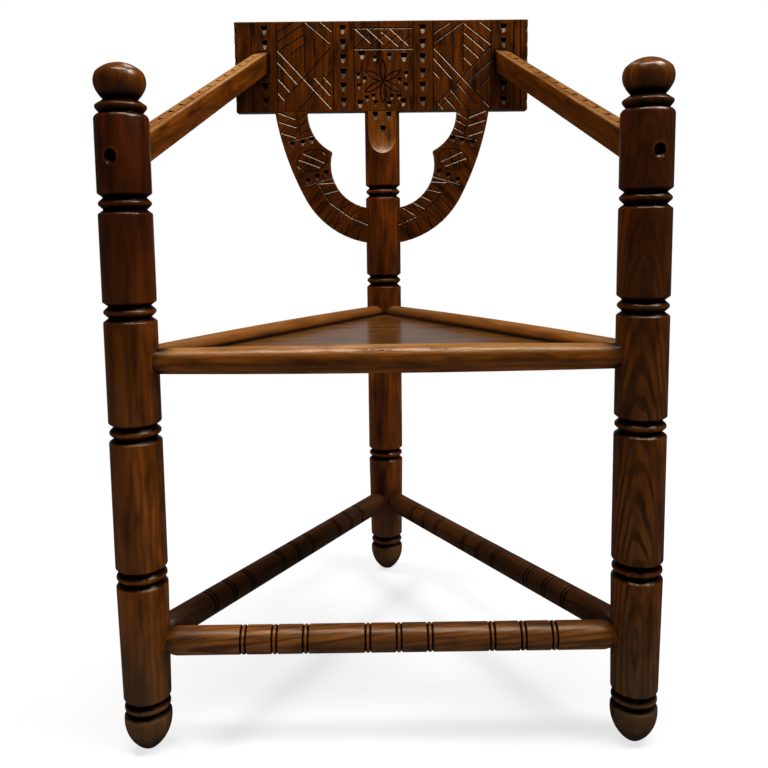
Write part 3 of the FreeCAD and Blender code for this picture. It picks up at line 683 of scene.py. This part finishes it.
right_field = (
    ((111.8, 122.3), (111.8, 70.5)), ((127.5, 132.9), (127.5, 59.9)),
    ((82.7, 118.8), (104.8, 132.6)), ((82.7, 103.5), (124.3, 132.6)),
    ((128.2, 134), (170.5, 101)), ((155.6, 134), (170.5, 122.6)), ((129.7, 118.8), (161, 92.1)),
    ((129.7, 101), (152.4, 80.7)), ((130.4, 80.1), (140.6, 70.5)), ((82.7, 95.9), (170, 4.7)),
    ((82.7, 79.4), (110.1, 49.7)), ((82.7, 59.1), (89.8, 51.1)), ((99.6, 19.9), (115.3, 3.6)),
    ((108.7, 31.3), (131.4, 4.7)), ((120.4, 40.1), (146.6, 11.2)), ((89.1, 11.2), (95.7, 3.6)),
    ((82.4, 6.6), (170, 95.6)), ((135.6, 44.7), (171.6, 76.6)), ((91.8, 6.6), (123.1, 40.1)),
    ((145.3, 48.9), (170.5, 74.3)), ((151.7, 32.5), (170.5, 52.7)), ((162.2, 22.3), (170.5, 31.3)))
panel_lines = (
    ((-42.8, 126.5), (49, 126.5)), ((-42.8, 95), (49, 95)),
    ((-40, 126), (-17, 105)), ((-21, 126), (3, 104)), ((1, 121), (26, 100)), ((14, 126), (42, 101)),
    ((-41, 97), (-20, 117)), ((-19, 97), (9, 121)), ((4, 97), (30, 121)), ((25, 97), (47, 117)))
corner_chips = ((-30.3, 86.4), (35.1, 82.4), (-34, 12.1), (33.6, 13.6))
small_chips = (
    (-10.4, 81.2), (12.4, 84.2), (-36.5, 55.3), (-27.2, 49.2), (-35.6, 38.6), (38.3, 56.8), (28.2, 46.6),
    (38.3, 38.6), (-23.1, 19.7), (-13.1, 22.8), (-9.9, 12.1), (11.5, 11.2), (15.6, 22.1), (27.3, 22.1))
rule_low = -3
rule_high = 141
rule_width = 1.8
column_chip = (11.5, 14.5)
corner_chip = (12, 13)
small_chip = (8.5, 10)
edge_chip = (9, 12)
edge_columns = (-229, 229)
edge_drop = 4
cuts = [line_cut(carved_face, (x, rule_low), (x, rule_high), rule_width) for x in ruled_lines]
cuts += [line_cut(carved_face, start, end) for start, end in (*left_field, *right_field, *panel_lines)]
cuts += [chip_cut(carved_face, x, z, *column_chip) for x in chip_columns for z in chip_rows]
cuts += [chip_cut(carved_face, x, z, *corner_chip) for x, z in corner_chips]
cuts += [chip_cut(carved_face, x, z, *small_chip) for x, z in small_chips]
cuts += [chip_cut(carved_face, x, z - edge_drop, *edge_chip) for x in edge_columns for z in chip_rows]

# The rosette is struck with a compass: six arcs through its middle, each about the tip of a petal.
rosette_middle = Vector((1.8, 45.9))
petal = 33
arc_cut = 1.3
arc_size = (1, 0.95, 1)
arc_sweep = math.radians(120)
bpy.ops.object.select_all(action="DESELECT")
bpy.ops.mesh.primitive_circle_add(vertices=4, radius=arc_cut, fill_type="NGON", location=(petal, 0, 0))
bpy.ops.object.transform_apply(location=True, rotation=True, scale=True)
arc_tool = bpy.context.object
bpy.ops.object.mode_set(mode="EDIT")
bpy.ops.mesh.select_all(action="SELECT")
bpy.ops.mesh.spin(steps=24, angle=arc_sweep, center=(0, 0, 0), axis=(0, 1, 0))
bpy.ops.mesh.select_all(action="SELECT")
bpy.ops.mesh.normals_make_consistent(inside=False)
bpy.ops.object.mode_set(mode="OBJECT")
for tip in range(6):
    heading = math.radians(30 + 60 * tip)
    tip_x = rosette_middle.x + petal * math.cos(heading)
    tip_z = rosette_middle.y + petal * math.sin(heading)
    cuts.append(mark(arc_tool, carved_face, tip_x, tip_z, arc_size, -heading - arc_sweep))
take_out(board, cuts)
# The crest's material paints the shadow of the arms on the ends of the board.
crest_oak = stained_oak(
    "stained_oak_crest", "#602c02", "#120500", (0.1, 0.16, 0.8), (4, 2, 0), gloss=0.25, dirt_and_shade_reach=0.004,
    streak=0.5, ripple=0.1, arm_shadow=0.65)
finish_piece(board, crest_oak, "crest_board", crease=8)

# Back brackets. Two scrolled pieces sawn from oak plank, glued between the rear leg and the underside of
# the crest board, their faces flush with it and carved with hatching, chips and an oval.
bracket_thickness = 0.020
bracket_ease = 0.0011
# Outline in millimetres, beside and below the middle of the board's lower edge, struck with a compass: two
# arcs outside and two inside.
bracket_outer = [(118.5, 0), (168.5, 0)]
bracket_outer += bowed((121, -140), (168.5, 0), 440)[-2::-1] + [(121, -140)]
bracket_outer += bowed((6, -208), (121, -140), 136)[-2::-1] + [(6, -208)]
bracket_inner = [(6, -151)] + bowed((6, -151), (80, -62), 69.5, count=14)
bracket_inner += bowed((80, -62), (118.5, 0), 70, count=10)[:-1]
bracket_lines = (
    ((-136.5, 1), (-129.5, -37)),
    ((-161.9, -1.1), (-137.3, -10.6)), ((-160.8, -15.3), (-135.8, -23.3)), ((-158, -32.3), (-137.3, -38.9)),
    ((-134, -13.1), (-118.4, -3.4)), ((-131.9, -22.9), (-112.8, -12.1)), ((-129.5, -34.9), (-111.7, -25.2)),
    ((-153, -46.8), (-106, -35.5)),
    ((-125.1, -64.3), (-92.7, -78.4)), ((-131.9, -74), (-99.3, -86)),
    ((-121.7, -114.2), (-77.2, -101.2)),
    ((-102.7, -111.4), (-83.7, -142.5)), ((-83.7, -142.5), (-52.4, -165.3)),
    ((-52.4, -165.3), (-24.5, -177.3)),
    ((-92.7, -127.3), (-69.3, -121.8)), ((-77.1, -140.3), (-59.1, -131.7)),
    ((-65.8, -152.2), (-45.8, -141.4)), ((-50.2, -162.1), (-32.3, -151.1)),
    ((-102.7, -111.4), (-73.6, -109.9)), ((-108, -155), (-96, -140)), ((-94, -170), (-84, -155)),
    ((-79, -183), (-70, -166)), ((-61, -193), (-54, -176)), ((-42, -200), (-37, -184)))
bracket_chips = (
    (-141.9, -50.6), (-126.2, -47.5), (-111.7, -43.6), (-118.9, -108.4), (-103.8, -101.8), (-89.8, -95.8))
bracket_chip = (9.5, 11)
right_oval_lines = (((107, -66.5), (113, -90)), ((119.5, -64), (123, -92)))
oval_middle = (-111.7, -75.5)
oval_size = (24, 18, 16.5)
oval_line = 0.05
oval_lean = math.radians(12)
bracket_oak = {
    -1: stained_oak(
        "stained_oak_left_bracket", "#5e2a02", "#120500", (-0.2, 0.2, 0.7), (0, 40, 0), gloss=0.25,
        dirt_and_shade_reach=0.004),
    1: stained_oak(
        "stained_oak_right_bracket", "#5e2a02", "#120500", (0.2, 0.2, 0.7), (0, -40, 0), gloss=0.25,
        dirt_and_shade_reach=0.004),
}
for side, name in ((-1, "left"), (1, "right")):
    outline = [(side * x * mm, board_bottom + z * mm) for x, z in bracket_outer + bracket_inner]
    bracket = draw(f"{name}_bracket_carved", outline)
    bpy.ops.mesh.edge_face_add()
    bpy.ops.mesh.extrude_region_move(TRANSFORM_OT_translate={"value": (0, bracket_thickness, 0)})
    bpy.ops.mesh.select_all(action="SELECT")
    bpy.ops.mesh.normals_make_consistent(inside=False)
    bpy.ops.object.mode_set(mode="OBJECT")
    set_down(bracket, (0, board_face, 0))
    ease_edges(bracket, bracket_ease)
    cuts = [
        line_cut(carved_face, (-side * start[0], start[1]), (-side * end[0], end[1]))
        for start, end in bracket_lines]
    if side > 0:
        cuts += [line_cut(carved_face, start, end) for start, end in right_oval_lines]
    cuts += [chip_cut(carved_face, -side * x, z, *bracket_chip) for x, z in bracket_chips]
    bpy.ops.object.select_all(action="DESELECT")
    bpy.ops.mesh.primitive_torus_add(
        major_segments=48, minor_segments=4, major_radius=1, minor_radius=oval_line,
        rotation=(math.pi / 2, 0, 0))
    bpy.ops.object.transform_apply(location=True, rotation=True, scale=True)
    oval = bpy.context.object
    oval_x, oval_z = oval_middle
    cuts.append(mark(oval, carved_face, -side * oval_x, oval_z, oval_size, side * oval_lean))
    bpy.data.objects.remove(oval)
    take_out(bracket, cuts)
    finish_piece(bracket, bracket_oak[side], f"{name}_back_bracket", crease=8)

# Arms. Two square oak bars that rise from the front legs to the face of the crest board, stub tenoned at
# the back and screwed at the front. A ruled line and a row of chips run along the tops. Their pale tops and
# edges are partly wear and partly painted light, the edges with a painted highlight.
arm_width = 0.022
arm_height = 0.030
arm_start = 0.018
arm_overrun = 0.03
arm_ease = 0.0026
arm_rule = -4.5
arm_rule_start = 20
arm_rule_overrun = 5
arm_rule_width = 1.4
arm_rule_depth = 0.8
arm_chip = (9.5, 7.5, 0.45)
arm_chip_row = 0.5
arm_chip_count = 14
first_arm_chip = 40
arm_chip_gap = 32.5
arm_oak = {
    -1: stained_oak(
        "stained_oak_left_arm", "#743a06", "#2c1000", (-0.25, 0, 0.70), (0, 68, 80), gloss=0.28,
        rubbed_and_lit_top=0.9, edge="#a4743c"),
    1: stained_oak(
        "stained_oak_right_arm", "#603004", "#2c1000", (0.25, 0, 0.70), (0, 68, 100), gloss=0.28,
        rubbed_and_lit_top=0.6, edge="#805020"),
}
for side, name in ((-1, "left"), (1, "right")):
    start = front_legs[side] + Vector((0, 0, arm_foot_height))
    end = Vector((side * arm_head.x, arm_head.y, arm_head.z))
    along = (end - start).normalized()
    across = along.cross(Vector((0, 0, 1))).normalized()
    upward = across.cross(along)
    length = (end - start).length
    arm = block(
        (arm_start, -arm_width / 2, -arm_height / 2), (length + arm_overrun, arm_width / 2, arm_height / 2))
    arm.name = f"{name}_arm_carved"
    lie = Matrix((along, -across, upward)).transposed().to_4x4()
    set_down(arm, start, lie.to_euler())
    bpy.ops.object.mode_set(mode="EDIT")
    bpy.ops.mesh.select_all(action="SELECT")
    bpy.ops.mesh.bisect(
        plane_co=(0, board_face, 0), plane_no=(0, 1, 0), use_fill=True, clear_outer=True)
    bpy.ops.object.mode_set(mode="OBJECT")
    ease_edges(arm, arm_ease)
    top = Matrix((-side * along, -upward, side * across)).transposed().to_4x4()
    top.translation = start + upward * arm_height / 2
    rule_start = (-side * arm_rule_start, arm_rule)
    rule_end = (-side * (length / mm + arm_rule_overrun), arm_rule)
    cuts = [line_cut(top, rule_start, rule_end, arm_rule_width, arm_rule_depth)]
    chip_places = [first_arm_chip + step * arm_chip_gap for step in range(arm_chip_count)]
    cuts += [chip_cut(top, -side * x, arm_chip_row, *arm_chip) for x in chip_places]
    take_out(arm, cuts)
    finish_piece(arm, arm_oak[side], f"{name}_arm", crease=18)

# Screws. Slotted steel wood screws with flat heads, two in the counterbores of the front legs and two
# from behind the rear leg into the crest board; old, dull and brown with age.
screw_steel = bpy.data.materials.new("aged_steel_screws")
screw_steel.use_nodes = True
steel = screw_steel.node_tree
steel.nodes.clear()
steel_where = add_node(steel, "ShaderNodeTexCoord", {})
# Rust in spots of about 1 mm.
rust = add_node(steel, "ShaderNodeTexNoise", {"Vector": steel_where.outputs["Object"], "Scale": 1000.0})
browned = add_node(steel, "ShaderNodeMix", {
    0: rust.outputs["Fac"], 6: linear("#6a6258"), 7: linear("#3a2618")}, data_type="RGBA")
dulled = add_node(steel, "ShaderNodeMapRange", {"Value": rust.outputs["Fac"], "To Min": 0.4, "To Max": 0.75})
steel_surface = add_node(steel, "ShaderNodeBsdfPrincipled", {
    "Base Color": browned.outputs[2], "Metallic": 0.85, "Roughness": dulled.outputs[0]})
add_node(steel, "ShaderNodeOutputMaterial", {"Surface": steel_surface.outputs[0]})
for name in ("arm_screws", "crest_screws"):
    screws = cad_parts[name]
    screws.data.materials.clear()
    screws.data.materials.append(screw_steel)

# The carving tools are put away.
for tool in (chip, v_tool, arc_tool):
    bpy.data.objects.remove(tool)

# Floor and light. A white sweep under soft lamps: a key at the right, a strip overhead, one at the left
# rear that the polish doesn't show, and a faint one behind. The room behind the viewer is dim, so upright
# faces stay dark.
bpy.ops.object.select_all(action="DESELECT")
bpy.ops.mesh.primitive_plane_add(size=40)
floor = bpy.context.object
floor.name = "floor"
white_floor = bpy.data.materials.new("white_painted_floor")
white_floor.use_nodes = True
paint = white_floor.node_tree
paint.nodes.clear()
ray = add_node(paint, "ShaderNodeLightPath", {})
# The shadow is kept under and around the chair, and the floor clears to white a step away from it. The
# old wax shows the floor only dimly.
spot = add_node(paint, "ShaderNodeTexCoord", {})
away = add_node(paint, "ShaderNodeVectorMath", {0: spot.outputs["Object"]}, operation="LENGTH")
clear = add_node(paint, "ShaderNodeMapRange", {
    "Value": away.outputs["Value"], "From Min": 0.5, "From Max": 1.3, "To Min": 0.75, "To Max": 1.0})
white_paper = add_node(paint, "ShaderNodeBsdfDiffuse", {"Color": linear("#f0f0f0")})
glow = add_node(paint, "ShaderNodeEmission", {"Strength": 1.0})
paper = add_node(paint, "ShaderNodeMixShader", {
    0: clear.outputs[0], 1: white_paper.outputs[0], 2: glow.outputs[0]})
seen = add_node(paint, "ShaderNodeMath", {
    0: ray.outputs["Is Camera Ray"], 1: ray.outputs["Is Transmission Ray"]}, operation="MAXIMUM")
matt = add_node(paint, "ShaderNodeBsdfDiffuse", {"Color": linear("#c0c0c0")})
lit_floor = add_node(paint, "ShaderNodeMixShader", {
    0: seen.outputs[0], 1: matt.outputs[0], 2: paper.outputs[0]})
dim = add_node(paint, "ShaderNodeEmission", {"Strength": 0.05})
floor_mix = add_node(paint, "ShaderNodeMixShader", {
    0: ray.outputs["Is Glossy Ray"], 1: lit_floor.outputs[0], 2: dim.outputs[0]})
add_node(paint, "ShaderNodeOutputMaterial", {"Surface": floor_mix.outputs[0]})
floor.data.materials.append(white_floor)

world = bpy.data.worlds.new("studio")
bpy.context.scene.world = world
world.use_nodes = True
sky = world.node_tree
sky.nodes.clear()
sky_ray = add_node(sky, "ShaderNodeLightPath", {})
sky_way = add_node(sky, "ShaderNodeTexCoord", {})
sky_parts = add_node(sky, "ShaderNodeSeparateXYZ", {0: sky_way.outputs["Generated"]})
# The backdrop hangs behind the chair; beyond its edges polish shows the dim room.
behind = add_node(sky, "ShaderNodeMapRange", {
    "Value": sky_parts.outputs["Y"], "From Min": 0.955, "From Max": 0.985, "To Min": 0.018, "To Max": 0.34})
mirrored = add_node(sky, "ShaderNodeMath", {
    0: sky_ray.outputs["Is Glossy Ray"], 1: behind.outputs[0]}, operation="MULTIPLY")
sky_seen = add_node(sky, "ShaderNodeMath", {
    0: sky_ray.outputs["Is Camera Ray"], 1: mirrored.outputs[0]}, operation="MAXIMUM")
sky_through = add_node(sky, "ShaderNodeMath", {
    0: sky_seen.outputs[0], 1: sky_ray.outputs["Is Transmission Ray"]}, operation="MAXIMUM")
sky_level = add_node(sky, "ShaderNodeMath", {
    0: sky_through.outputs[0], 1: 0.04}, operation="MAXIMUM")
backdrop = add_node(sky, "ShaderNodeBackground", {"Color": (1, 1, 1, 1), "Strength": sky_level.outputs[0]})
add_node(sky, "ShaderNodeOutputWorld", {"Surface": backdrop.outputs[0]})

chair_middle = Vector((0, 0, 0.5))


def lamp(name, place, width, depth, power):
    """A soft lamp at a place, turned to the chair; gives back its holder."""
    light = bpy.data.lights.new(name, "AREA")
    light.shape = "RECTANGLE"
    light.size = width
    light.size_y = depth
    light.energy = power
    holder = bpy.data.objects.new(name, light)
    bpy.context.scene.collection.objects.link(holder)
    holder.location = place
    holder.rotation_euler = (chair_middle - Vector(place)).to_track_quat("-Z", "Y").to_euler()
    return holder


lamp("key_lamp", place=(1.5, -0.5, 2.8), width=1.0, depth=1.0, power=82)
lamp("strip_lamp", place=(0, -0.62, 3.0), width=1.5, depth=0.6, power=60)
side_lamp = lamp("side_lamp", place=(-1.3, 0.7, 2.4), width=0.6, depth=0.6, power=45)
side_lamp.visible_glossy = False
lamp("ceiling_lamp", place=(-0.2, 1.1, 2.4), width=0.4, depth=0.4, power=4)

# Camera. It stands where the photograph was taken from, close in front and a little above the seat,
# and looks slightly down.
lens = bpy.data.cameras.new("camera")
lens.sensor_width = 36
lens.lens = 37.70
lens.shift_y = -0.0872
camera = bpy.data.objects.new("camera", lens)
bpy.context.scene.collection.objects.link(camera)
camera.location = (-0.0085, -1.0766, 0.5697)
camera.rotation_euler = [math.radians(angle) for angle in (83.7056, 0.6481, -0.4195)]
bpy.context.scene.camera = camera
bpy.context.scene.view_settings.view_transform = "Standard"
